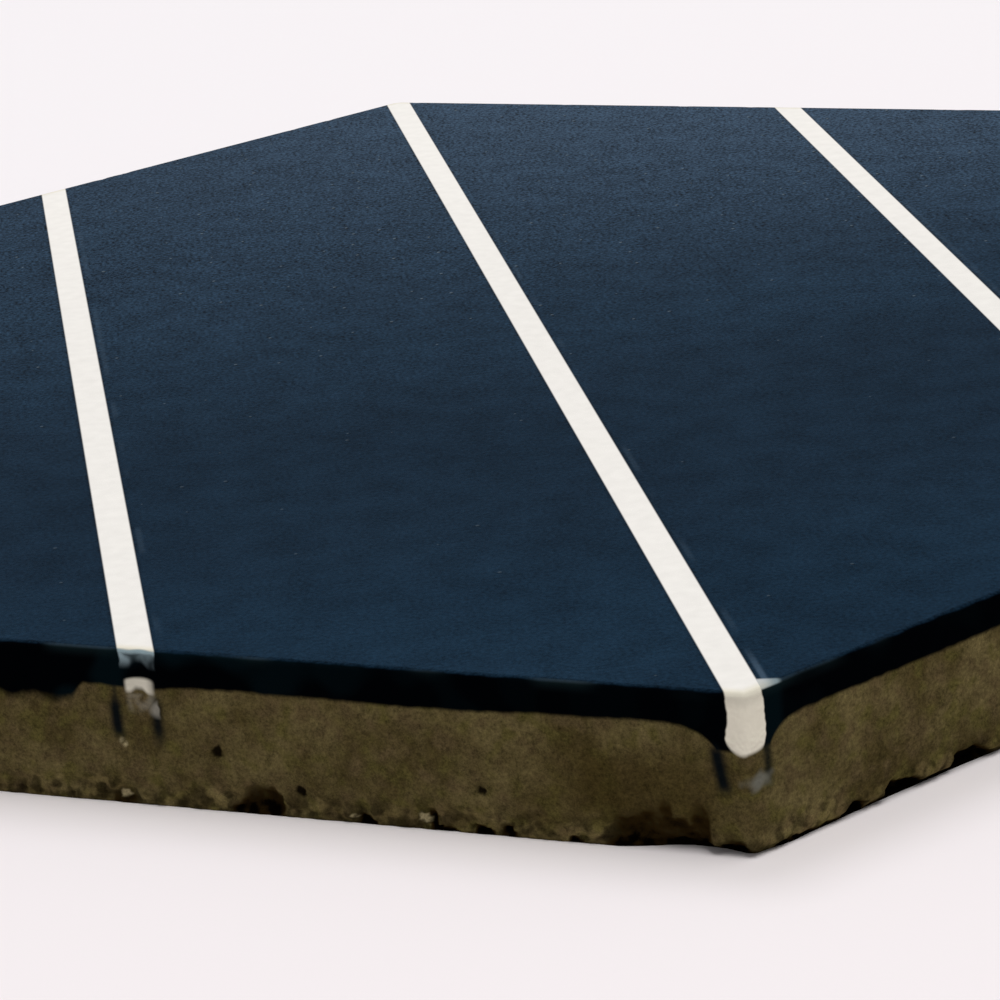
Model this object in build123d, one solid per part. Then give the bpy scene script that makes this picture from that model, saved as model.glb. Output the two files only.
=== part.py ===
"""Hexagonal cement floor tile, pressed in a mould as one piece.

The tile lies face up. The origin is the middle of its back, +Z is up through the face,
and two opposite corners of the hexagon lie on the Y axis.
"""

import os

from build123d import *

# Driving dimensions, in millimetres
ACROSS_FLATS = 200.0  # from one side to the opposite side
THICKNESS = 15.5  # from the back to the face
CORNER_RADIUS = 1.5  # upright edge where two sides meet
FACE_ARRIS_RADIUS = 0.5  # eased edge round the face
BACK_ARRIS_INSET = 0.4  # how far the broken edge of the back runs in under the tile
BACK_ARRIS_HEIGHT = 0.8  # how far it runs up the sides
SIDE_COUNT = 6

# Turns the polygon so that a corner, and not the middle of a side, lies on the Y axis
CORNER_ON_Y = 90.0

NODE = "cement_tile"


def outline(across_flats: float) -> Sketch:
    """The tile's plan at one level, with its corners eased."""
    sharp = RegularPolygon(
        radius=across_flats / 2,
        side_count=SIDE_COUNT,
        major_radius=False,
        rotation=CORNER_ON_Y,
    )
    return fillet(sharp.vertices(), CORNER_RADIUS)


def pressed_tile() -> Part:
    """The full outline pressed to the face, on a broken edge that draws in to the back."""
    back_outline = outline(ACROSS_FLATS - 2 * BACK_ARRIS_INSET)
    full_outline = Pos(Z=BACK_ARRIS_HEIGHT) * outline(ACROSS_FLATS)
    broken_edge = loft([back_outline, full_outline], ruled=True)
    plumb_sides = extrude(full_outline, THICKNESS - BACK_ARRIS_HEIGHT)
    tile = broken_edge + plumb_sides
    face = tile.faces().sort_by(Axis.Z)[-1]
    return fillet(face.edges(), FACE_ARRIS_RADIUS)


def main() -> None:
    """Writes the tile's one solid."""
    os.makedirs("parts", exist_ok=True)
    export_step(pressed_tile(), f"parts/{NODE}.step")


main()
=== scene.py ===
"""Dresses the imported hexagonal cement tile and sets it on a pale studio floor.

The tile is one pressed piece, so one closed mesh stands for it. A fine blank with the tile's own
section is crumbled along the back edge, and its finish is a solid one: the navy face layer, the
white stripes set into it and the mortar body are told apart by their place in the tile.

The classes hold their sizes in millimetres. Meshes, lamps and the camera are in metres.
"""

import logging
import math
from dataclasses import dataclass
from enum import Enum
from typing import Iterator, Union

import bpy
from mathutils import Matrix, Vector
from mathutils.geometry import delaunay_2d_cdt


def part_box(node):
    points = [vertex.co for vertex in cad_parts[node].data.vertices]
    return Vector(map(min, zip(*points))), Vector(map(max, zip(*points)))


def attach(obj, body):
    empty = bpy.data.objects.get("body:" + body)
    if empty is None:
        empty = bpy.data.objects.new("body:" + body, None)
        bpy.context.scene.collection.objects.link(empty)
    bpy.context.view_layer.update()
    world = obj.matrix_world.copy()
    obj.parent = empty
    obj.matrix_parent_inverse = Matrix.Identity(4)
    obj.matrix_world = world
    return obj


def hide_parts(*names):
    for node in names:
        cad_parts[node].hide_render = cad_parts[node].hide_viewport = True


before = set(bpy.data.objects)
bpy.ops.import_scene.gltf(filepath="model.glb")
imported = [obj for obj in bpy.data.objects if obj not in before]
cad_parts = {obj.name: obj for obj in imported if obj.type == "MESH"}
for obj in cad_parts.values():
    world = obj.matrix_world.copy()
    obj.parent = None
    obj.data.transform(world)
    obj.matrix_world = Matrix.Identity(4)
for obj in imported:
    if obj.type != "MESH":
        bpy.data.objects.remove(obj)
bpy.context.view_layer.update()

LOG = logging.getLogger("cement_tile")

MM = 0.001
TILE_NODE = "cement_tile"
TILE_BODY = "root"
TILE_SLOT = "pigmented_cement"
HOLLOW_SHADE = "hollow_shade"
DIRT_AND_SHADE = "bite_dirt_and_shade"
GRAINS = "pale_grains"
BAKE_MAP = "OFBake"

# How far a seed moves a texture, and how many times a noise's usual swing goes into its whole range
SEED_STEP = (17.3, 31.7, 47.9)
NOISE_SPREAD = 4.0
# A graded run ends when less than this many of its steps are left
LAST_STEPS = 1.5
# How the infill's triangulation is asked for: only what lies inside, with near points told apart
INSIDE_ONLY = 1
SAME_POINT = 1e-6

Colour = tuple[float, float, float]
Place = tuple[float, float, float]
MapSpot = tuple[float, float]
# Where something starts and where it is whole, or what it is at its two ends
Span = tuple[float, float]
# A middle, how far from it something ends, and how near to it it is whole
Around = tuple[float, float, float]
# Where something starts, where it is whole, where it begins to fade and where it ends
Band = tuple[float, float, float, float]


class Field:
    """A quantity that varies over the tile; arithmetic on it writes nodes into its tree."""

    def __init__(self, sketch: "NodeSketch", socket: bpy.types.NodeSocket) -> None:
        """Keeps the tree's sketch and the socket that gives the quantity.

        Args:
            sketch: The sketch of the tree that the socket belongs to.
            socket: An output socket of that tree.
        """
        self.sketch = sketch
        self.socket = socket

    def __add__(self, other: "Term") -> "Field":
        """This plus other."""
        return self.sketch.math("ADD", self, other)

    def __radd__(self, other: "Term") -> "Field":
        """Other plus this."""
        return self.sketch.math("ADD", other, self)

    def __sub__(self, other: "Term") -> "Field":
        """This less other."""
        return self.sketch.math("SUBTRACT", self, other)

    def __rsub__(self, other: "Term") -> "Field":
        """Other less this."""
        return self.sketch.math("SUBTRACT", other, self)

    def __mul__(self, other: "Term") -> "Field":
        """This times other."""
        return self.sketch.math("MULTIPLY", self, other)

    def __rmul__(self, other: "Term") -> "Field":
        """Other times this."""
        return self.sketch.math("MULTIPLY", other, self)

    def __truediv__(self, other: "Term") -> "Field":
        """This over other."""
        return self.sketch.math("DIVIDE", self, other)


Term = Union[Field, float]
Paint = Union[Field, Colour]


@dataclass(frozen=True)
class Cloud:
    """A noise: its lumps' size in millimetres, its seed and its finer detail.

    Its reach is how far it mostly pushes things, in millimetres. Its edge says from where to where
    in its own range its patches become whole.
    """

    grain: float
    seed: float
    detail: float = 0.0
    rough: float = 0.5
    reach: float = 0.0
    edge: Span = (0.0, 1.0)


@dataclass(frozen=True)
class Scatter:
    """Scattered round marks: spacing and largest radius in millimetres, and the share of cells used.

    The smallest mark and the whole core of a mark are shares of its radius. A flat scatter is one
    of upright columns, for a level surface.
    """

    spacing: float
    seed: float
    radius: float = 1.0
    share: float = 1.0
    smallest: float = 0.45
    core: float = 0.4
    flat: bool = False


def side_axes() -> list[Place]:
    """The directions square to the hexagon's three pairs of sides."""
    angles = (math.pi / 3 * turn for turn in range(3))
    return [(math.cos(angle), math.sin(angle), 0.0) for angle in angles]


def opaque(colour: Paint) -> Union[Field, tuple[float, float, float, float]]:
    """A plain colour with its alpha of 1 added, or a field as it is."""
    return colour if isinstance(colour, Field) else (*colour, 1.0)


class NodeSketch:
    """Draws arithmetic and textures into a shader tree or a geometry tree."""

    side_reach: Span = (6.0, 3.0)

    def __init__(self, tree: bpy.types.NodeTree) -> None:
        """Keeps the tree to draw in.

        Args:
            tree: A shader or geometry node tree.
        """
        self.tree = tree

    def node(self, kind: str, **settings: object) -> bpy.types.Node:
        """Adds a node.

        Args:
            kind: The node's type name.
            settings: Properties of the node to set.

        Returns:
            The new node.
        """
        made = self.tree.nodes.new(kind)
        for name, value in settings.items():
            setattr(made, name, value)
        return made

    def plug(self, socket: bpy.types.NodeSocket, term: object) -> None:
        """Links a field to an input socket, or sets a plain value on it.

        Args:
            socket: The input socket.
            term: A field or a plain value.
        """
        if isinstance(term, Field):
            self.tree.links.new(term.socket, socket)
        else:
            socket.default_value = term

    def math(self, operation: str, *terms: Term) -> Field:
        """One Math node.

        Args:
            operation: The node's operation.
            terms: Its inputs, in order.

        Returns:
            The result.
        """
        made = self.node("ShaderNodeMath", operation=operation)
        for socket, term in zip(made.inputs, terms):
            self.plug(socket, term)
        return Field(self, made.outputs[0])

    def largest(self, first: Term, *others: Term) -> Field:
        """The largest of the terms.

        Args:
            first: A field or a number.
            others: More of them.

        Returns:
            The largest at each place.
        """
        most = first
        for term in others:
            most = self.math("MAXIMUM", most, term)
        return most

    def size_of(self, term: Term) -> Field:
        """The term without its sign."""
        return self.math("ABSOLUTE", term)

    def ease(self, term: Term, start: Term, end: Term) -> Field:
        """A smooth step.

        Args:
            term: What the step follows.
            start: Where the result is 0.
            end: Where the result is 1; it may be below start.

        Returns:
            The step, from 0 to 1.
        """
        made = self.node("ShaderNodeMapRange", interpolation_type="SMOOTHSTEP")
        self.plug(made.inputs["Value"], term)
        self.plug(made.inputs["From Min"], start)
        self.plug(made.inputs["From Max"], end)
        return Field(self, made.outputs["Result"])

    def band(self, term: Term, start: Term, whole: Term, fading: Term, end: Term) -> Field:
        """A smooth step up and down again.

        Args:
            term: What the band follows.
            start: Where it rises from 0.
            whole: Where it reaches 1.
            fading: Where it leaves 1.
            end: Where it is 0 again.

        Returns:
            The band, from 0 to 1.
        """
        return self.ease(term, start, whole) * self.ease(term, end, fading)

    def around(self, term: Term, middle: Term, far: Term, near: Term) -> Field:
        """A step that is 1 within near of a middle, and 0 from far of it on."""
        return self.ease(self.size_of(term - middle), far, near)

    def length(self, across: Field, up: Field) -> Field:
        """The length of a step, from its two parts."""
        return self.math("SQRT", across * across + up * up)

    def split(self, vector: Field) -> tuple[Field, Field, Field]:
        """Takes a vector apart.

        Args:
            vector: The vector.

        Returns:
            Its X, Y and Z.
        """
        made = self.node("ShaderNodeSeparateXYZ")
        self.plug(made.inputs[0], vector)
        x, y, z = (Field(self, socket) for socket in made.outputs)
        return x, y, z

    def scaled(self, vector: Union[Field, Place], factor: Term) -> Field:
        """A vector or colour times a number.

        Args:
            vector: The vector or colour.
            factor: The number.

        Returns:
            The product.
        """
        made = self.node("ShaderNodeVectorMath", operation="SCALE")
        self.plug(made.inputs[0], vector)
        self.plug(made.inputs["Scale"], factor)
        return Field(self, made.outputs["Vector"])

    def moved(self, vector: Field, step: Union[Field, Place]) -> Field:
        """A vector plus another.

        Args:
            vector: The one.
            step: The other.

        Returns:
            The sum.
        """
        made = self.node("ShaderNodeVectorMath", operation="ADD")
        self.plug(made.inputs[0], vector)
        self.plug(made.inputs[1], step)
        return Field(self, made.outputs["Vector"])

    def elsewhere(self, where: Field, seed: float) -> Field:
        """The same place far off in a texture, so that two textures don't agree."""
        x, y, z = (step * seed for step in SEED_STEP)
        return self.moved(where, (x, y, z))

    def noise_node(self, where: Field, cloud: Cloud) -> bpy.types.Node:
        """Adds a noise texture.

        Args:
            where: Place in millimetres.
            cloud: The noise.

        Returns:
            The texture's node.
        """
        made = self.node("ShaderNodeTexNoise")
        self.plug(made.inputs["Vector"], self.elsewhere(where, cloud.seed))
        self.plug(made.inputs["Scale"], 1.0 / cloud.grain)
        self.plug(made.inputs["Detail"], cloud.detail)
        self.plug(made.inputs["Roughness"], cloud.rough)
        return made

    def noise(self, where: Field, cloud: Cloud) -> Field:
        """Cloudy noise from 0 to 1, about 0.5 on average."""
        return Field(self, self.noise_node(where, cloud).outputs["Fac"])

    def patches(self, where: Field, cloud: Cloud) -> Field:
        """A noise's patches, 1 inside them and 0 outside."""
        return self.ease(self.noise(where, cloud), *cloud.edge)

    def ripple(self, where: Field, cloud: Cloud) -> Field:
        """Noise about zero, mostly within the cloud's reach either way."""
        return (self.noise(where, cloud) - 0.5) * (NOISE_SPREAD * cloud.reach)

    def drift(self, where: Field, cloud: Cloud) -> Field:
        """A place pushed about by noise.

        Args:
            where: Place in millimetres.
            cloud: The noise; its reach is how far it mostly pushes the place.

        Returns:
            The pushed place.
        """
        made = self.noise_node(where, cloud)
        centred = self.moved(Field(self, made.outputs["Color"]), (-0.5, -0.5, -0.5))
        return self.moved(where, self.scaled(centred, NOISE_SPREAD * cloud.reach))

    def cells(self, where: Field, scatter: Scatter) -> tuple[Field, Field, Field]:
        """Scattered cell centres.

        Args:
            where: Place in millimetres.
            scatter: The scatter.

        Returns:
            The distance to the nearest centre in millimetres, and two numbers from 0 to 1 that
            are each cell's own.
        """
        made = self.node("ShaderNodeTexVoronoi", voronoi_dimensions="2D" if scatter.flat else "3D")
        self.plug(made.inputs["Vector"], self.elsewhere(where, scatter.seed))
        self.plug(made.inputs["Scale"], 1.0 / scatter.spacing)
        distance = Field(self, made.outputs["Distance"]) * scatter.spacing
        chance, strength, _ = self.split(Field(self, made.outputs["Color"]))
        return distance, chance, strength

    def dots(self, where: Field, scatter: Scatter, share: Term) -> Field:
        """Scattered round dots.

        Args:
            where: Place in millimetres.
            scatter: The scatter.
            share: The share of the cells that have a dot, which may vary.

        Returns:
            A field that is 1 in the middle of a dot and 0 outside.
        """
        distance, chance, strength = self.cells(where, scatter)
        edge = scatter.radius * self.between(scatter.smallest, 1.0, strength)
        return self.ease(distance, edge, edge * scatter.core) * self.math("LESS_THAN", chance, share)

    def along(self, where: Field, axis: Place) -> Field:
        """How far a place lies along a direction.

        Args:
            where: Place in millimetres.
            axis: The direction, one unit long.

        Returns:
            That distance in millimetres.
        """
        made = self.node("ShaderNodeVectorMath", operation="DOT_PRODUCT")
        self.plug(made.inputs[0], where)
        self.plug(made.inputs[1], axis)
        return Field(self, made.outputs["Value"])

    def inset(self, where: Field, apothem: Term) -> Field:
        """How far a place lies in from the tile's nearest plumb side."""
        reached = (self.size_of(self.along(where, axis)) for axis in side_axes())
        return apothem - self.largest(*reached)

    def on_side(self, where: Field, side: "Side", apothem: Term) -> tuple[Field, Field]:
        """Places a point against one side.

        Args:
            where: Place in millimetres.
            side: The side.
            apothem: How far out the sides stand from the tile's middle.

        Returns:
            How near the side the point is, from 0 to 1, and its place along the side.
        """
        angle = math.radians(side.value)
        out = (math.cos(angle), math.sin(angle), 0.0)
        near = self.ease(apothem - self.along(where, out), *self.side_reach)
        return near, self.along(where, (-out[1], out[0], 0.0))

    def blend(self, under: Paint, over: Paint, share: Term) -> Field:
        """One colour over another.

        Args:
            under: Colour or field where share is 0.
            over: Colour or field where share is 1.
            share: How much of the upper one shows.

        Returns:
            The mixed colour.
        """
        made = self.node("ShaderNodeMix", data_type="RGBA")
        inputs = {socket.identifier: socket for socket in made.inputs}
        outputs = {socket.identifier: socket for socket in made.outputs}
        self.plug(inputs["Factor_Float"], share)
        self.plug(inputs["A_Color"], opaque(under))
        self.plug(inputs["B_Color"], opaque(over))
        return Field(self, outputs["Result_Color"])

    def between(self, low: Term, high: Term, share: Term) -> Field:
        """The number that lies share of the way from low to high."""
        return low + (high - low) * share


class Side(Enum):
    """A side of the tile that has marks of its own, by the angle in degrees that it faces."""

    LEFT = 240.0
    RIGHT = 300.0


class Zone(Enum):
    """The part of the tile that a mesh face belongs to."""

    BACK = "back"
    SIDE = "side"
    FACE = "face"


@dataclass(frozen=True)
class Station:
    """One level of the tile's section: how far in from the plumb side, and how high."""

    inset: float
    height: float
    zone: Zone


@dataclass(frozen=True)
class Hexagon:
    """The tile's plan, with two corners on the Y axis and every corner eased."""

    apothem: float
    corner_radius: float = 1.5
    steps_along_side: int = 270
    steps_round_corner: int = 6
    sides: int = 6

    @property
    def columns_per_side(self) -> int:
        """How many points belong to one side and the corner after it."""
        return self.steps_along_side + self.steps_round_corner

    @property
    def columns(self) -> int:
        """How many points one outline has."""
        return self.sides * self.columns_per_side

    @property
    def side_length(self) -> float:
        """A side's length between sharp corners."""
        return 2.0 * self.apothem * math.tan(math.pi / self.sides)

    def outline(self, inset: float) -> list[Vector]:
        """The plan at some distance in from the plumb sides.

        Args:
            inset: That distance, in millimetres.

        Returns:
            The outline's points, anticlockwise from above.
        """
        centre = self.apothem - inset - self.corner_radius
        half_side = centre * math.tan(math.pi / self.sides)
        points = []
        for side in range(self.sides):
            angle = math.tau * side / self.sides
            out = Vector((math.cos(angle), math.sin(angle)))
            along = Vector((-out.y, out.x))
            for step in range(self.steps_along_side):
                place = half_side * (2.0 * step / self.steps_along_side - 1.0)
                points.append(out * (centre + self.corner_radius) + along * place)
            corner = out * centre + along * half_side
            for step in range(self.steps_round_corner):
                turn = angle + math.tau / self.sides * step / self.steps_round_corner
                points.append(corner + Vector((math.cos(turn), math.sin(turn))) * self.corner_radius)
        return points

    def sparse_outline(self, inset: float, spacing: float) -> list[Vector]:
        """The plan with sharp corners at some distance in, with few points.

        Args:
            inset: Distance in from the plumb sides, in millimetres.
            spacing: About how far apart the points are.

        Returns:
            The outline's points, anticlockwise from above.
        """
        reach = (self.apothem - inset) / math.cos(math.pi / self.sides)
        count = max(1, round(reach / spacing))
        points = []
        for side in range(self.sides):
            ends = [math.tau * (side + end - 0.5) / self.sides for end in (0, 1)]
            first, last = (Vector((math.cos(a), math.sin(a))) * reach for a in ends)
            points += [first.lerp(last, step / count) for step in range(count)]
        return points


def graded(start: float, end: float, first: float, growth: float) -> Iterator[float]:
    """Places from start towards end whose steps grow, with end's own value last.

    Args:
        start: Where the steps begin; it isn't given back.
        end: Where they end.
        first: The first step's length.
        growth: How many times longer each step is than the one before.

    Yields:
        Each place on the way.
    """
    way = math.copysign(1.0, end - start)
    place, step = start, first
    while abs(end - place) > LAST_STEPS * step:
        place += way * step
        yield place
        step *= growth
    yield end


@dataclass(frozen=True)
class BakeSheet:
    """Where the tile's face, sides and back lie on its own map, each with no overlap."""

    plan: Hexagon
    face_scale: float = 0.0033
    back_scale: float = 0.00155
    face_middle: MapSpot = (0.338, 0.610)
    back_middle: MapSpot = (0.835, 0.780)
    first_strip: MapSpot = (0.012, 0.012)
    strip_gap: float = 0.012
    strips_per_row: int = 2
    strip_height: float = 17.5

    def flat_spot(self, zone: Zone, place: Vector) -> MapSpot:
        """The map's place for a point of the face or the back.

        Args:
            zone: Which of the two.
            place: The point in plan.

        Returns:
            Its place on the map.
        """
        scale = self.face_scale if zone is Zone.FACE else self.back_scale
        middle = self.face_middle if zone is Zone.FACE else self.back_middle
        return middle[0] + scale * place.x, middle[1] + scale * place.y

    def side_spot(self, side: int, column: int, up: float) -> MapSpot:
        """The map's place for a point of a side.

        Args:
            side: Which side.
            column: The point's number along that side.
            up: How far up the section it lies from the back arris, in millimetres.

        Returns:
            Its place on the map.
        """
        row, place = divmod(side, self.strips_per_row)
        length = self.plan.side_length * self.face_scale
        left = self.first_strip[0] + place * (length + self.strip_gap)
        low = self.first_strip[1] + row * (self.strip_height * self.face_scale + self.strip_gap)
        return left + length * column / self.plan.columns_per_side, low + up * self.face_scale


@dataclass(frozen=True)
class TileBlank:
    """The tile's exact section as a fine closed mesh, before its back edge crumbles."""

    plan: Hexagon
    thickness: float
    face_arris: float = 0.5
    back_arris_inset: float = 0.4
    back_arris_height: float = 0.8
    arris_steps: int = 4
    back_margin: float = 9.0
    face_margin: float = 2.4
    finest_row: float = 0.3
    row_growth: float = 1.035
    margin_growth: float = 1.2
    infill_growth: float = 1.45
    infill_coarsest: float = 6.0

    def stations(self) -> list[Station]:
        """Follows the section from inside the back, up the side and in over the face.

        Returns:
            Its levels in that order.
        """
        back = [self.back_arris_inset]
        back += graded(back[0], self.back_margin, self.finest_row, self.margin_growth)
        levels = [Station(inset, 0.0, Zone.BACK) for inset in reversed(back)]
        for step in range(1, self.arris_steps + 1):
            share = step / self.arris_steps
            inset = self.back_arris_inset * (1.0 - share)
            levels.append(Station(inset, self.back_arris_height * share, Zone.SIDE))
        shoulder = self.thickness - self.face_arris
        rows = graded(self.back_arris_height, shoulder, self.finest_row, self.row_growth)
        levels += [Station(0.0, height, Zone.SIDE) for height in rows]
        for step in range(1, self.arris_steps + 1):
            turn = math.pi / 2 * step / self.arris_steps
            inset = self.face_arris * (1.0 - math.cos(turn))
            levels.append(Station(inset, shoulder + self.face_arris * math.sin(turn), Zone.SIDE))
        face = graded(self.face_arris, self.face_margin, self.finest_row, self.margin_growth)
        levels += [Station(inset, self.thickness, Zone.FACE) for inset in face]
        return levels

    def infill(self, rim: list[Vector], inset: float) -> tuple[list[Vector], list[list[int]]]:
        """Fills a flat outline with triangles that grow towards the middle.

        Args:
            rim: The outline's points.
            inset: How far in from the plumb sides the outline lies.

        Returns:
            The points inside the outline, and triangles that number the rim's points first and
            the points inside after them.
        """
        inside = []
        spacing = self.plan.side_length / self.plan.steps_along_side
        depth = inset
        while depth < self.plan.apothem - self.infill_coarsest:
            spacing = min(spacing * self.infill_growth, self.infill_coarsest)
            depth += spacing
            inside += self.plan.sparse_outline(depth, spacing)
        points = [*rim, *inside]
        made = delaunay_2d_cdt(points, [], [list(range(len(rim)))], INSIDE_ONLY, SAME_POINT)
        origin = [found[0] for found in made[3]]
        return inside, [[origin[corner] for corner in face] for face in made[2]]

    def mesh(self, sheet: BakeSheet) -> bpy.types.Mesh:
        """Builds the blank.

        Args:
            sheet: Where its faces lie on its map.

        Returns:
            The closed mesh, in metres, with its map.
        """
        levels = self.stations()
        count = self.plan.columns
        places, faces, spots = [], [], []
        rims = [self.plan.outline(level.inset) for level in levels]
        for level, rim in zip(levels, rims):
            places += [(point.x, point.y, level.height) for point in rim]
        up = 0.0
        for number, (low, high) in enumerate(zip(levels, levels[1:])):
            rise = math.hypot(high.inset - low.inset, high.height - low.height)
            zone = high.zone
            for column in range(count):
                after = (column + 1) % count
                first, second = number * count, (number + 1) * count
                faces.append((first + column, first + after, second + after, second + column))
                if zone is Zone.SIDE:
                    side, place = divmod(column, self.plan.columns_per_side)
                    ends = ((place, up), (place + 1, up), (place + 1, up + rise), (place, up + rise))
                    spots += [sheet.side_spot(side, *end) for end in ends]
                else:
                    corners = (rims[number][column], rims[number][after])
                    corners += (rims[number + 1][after], rims[number + 1][column])
                    spots += [sheet.flat_spot(zone, corner) for corner in corners]
            up += rise if zone is Zone.SIDE else 0.0
        for number, turned in ((0, True), (len(levels) - 1, False)):
            level, rim = levels[number], rims[number]
            inside, triangles = self.infill(rim, level.inset)
            numbers = [number * count + column for column in range(count)]
            numbers += range(len(places), len(places) + len(inside))
            places += [(point.x, point.y, level.height) for point in inside]
            points = [*rim, *inside]
            for triangle in triangles:
                corners = triangle[::-1] if turned else triangle
                faces.append([numbers[corner] for corner in corners])
                spots += [sheet.flat_spot(level.zone, points[corner]) for corner in corners]
        made = bpy.data.meshes.new("tile_blank")
        made.from_pydata([Vector(place) * MM for place in places], [], faces)
        made.uv_layers.new(name=BAKE_MAP).data.foreach_set("uv", [v for spot in spots for v in spot])
        made.shade_smooth()
        made.validate()
        return made


@dataclass(frozen=True)
class Bite:
    """A place where the back edge has broken away under an arch, and its hollow, dirty and with painted
    shade.

    Lengths are in millimetres. Soft is how gradually the hollow deepens below the arch, lean tips
    the arch to one side, and shoulder says how soon the hollow is whole in from its two ends.
    """

    side: Side
    along: float
    half: float
    height: float
    depth: float
    soft: float
    dirt_and_shade: float = 1.0
    lean: float = 0.0
    shoulder: float = 0.6

    def inside(self, sketch: NodeSketch, along: Field, height: Field) -> Field:
        """The bite's own shape.

        Args:
            sketch: The tree's sketch.
            along: Place along the bite's side, in millimetres.
            height: Height above the back, in millimetres.

        Returns:
            A field that is 1 inside the bite and 0 outside.
        """
        share = (along - self.along) / self.half
        arch = sketch.math("MAXIMUM", 1.0 - share * share, 0.0)
        roof = self.height * sketch.math("POWER", arch, 0.5) * (1.0 - share * self.lean)
        return sketch.ease(height, roof, roof - self.soft) * sketch.ease(arch, 0.0, self.shoulder)


@dataclass(frozen=True)
class Dot:
    """A small round mark on a side: an air hole, or a pale grain of the mortar."""

    side: Side
    along: float
    height: float
    radius: float
    core: float = 0.3

    def inside(self, sketch: NodeSketch, along: Field, height: Field) -> Field:
        """The mark's own shape.

        Args:
            sketch: The tree's sketch.
            along: Place along the mark's side, in millimetres.
            height: Height above the back, in millimetres.

        Returns:
            A field that is 1 in the middle of the mark and 0 outside.
        """
        far = sketch.length(along - self.along, height - self.height)
        return sketch.ease(far, self.radius, self.radius * self.core)


@dataclass(frozen=True)
class Wear:
    """A stretch where the back edge is worn in under the tile, deepest at its middle.

    Lengths are in millimetres, and core is the share of the stretch that is worn in whole.
    """

    side: Side
    along: float
    half: float
    depth: float
    core: float = 0.1
    height: float = 1.2

    def inside(self, sketch: NodeSketch, along: Field, height: Field) -> Field:
        """How far the edge is worn in.

        Args:
            sketch: The tree's sketch.
            along: Place along the stretch's side, in millimetres.
            height: Height above the back, in millimetres.

        Returns:
            The wear in millimetres.
        """
        middle = sketch.around(along, self.along, self.half, self.core * self.half)
        return self.depth * middle * sketch.ease(height, self.height, 0.0)


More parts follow.
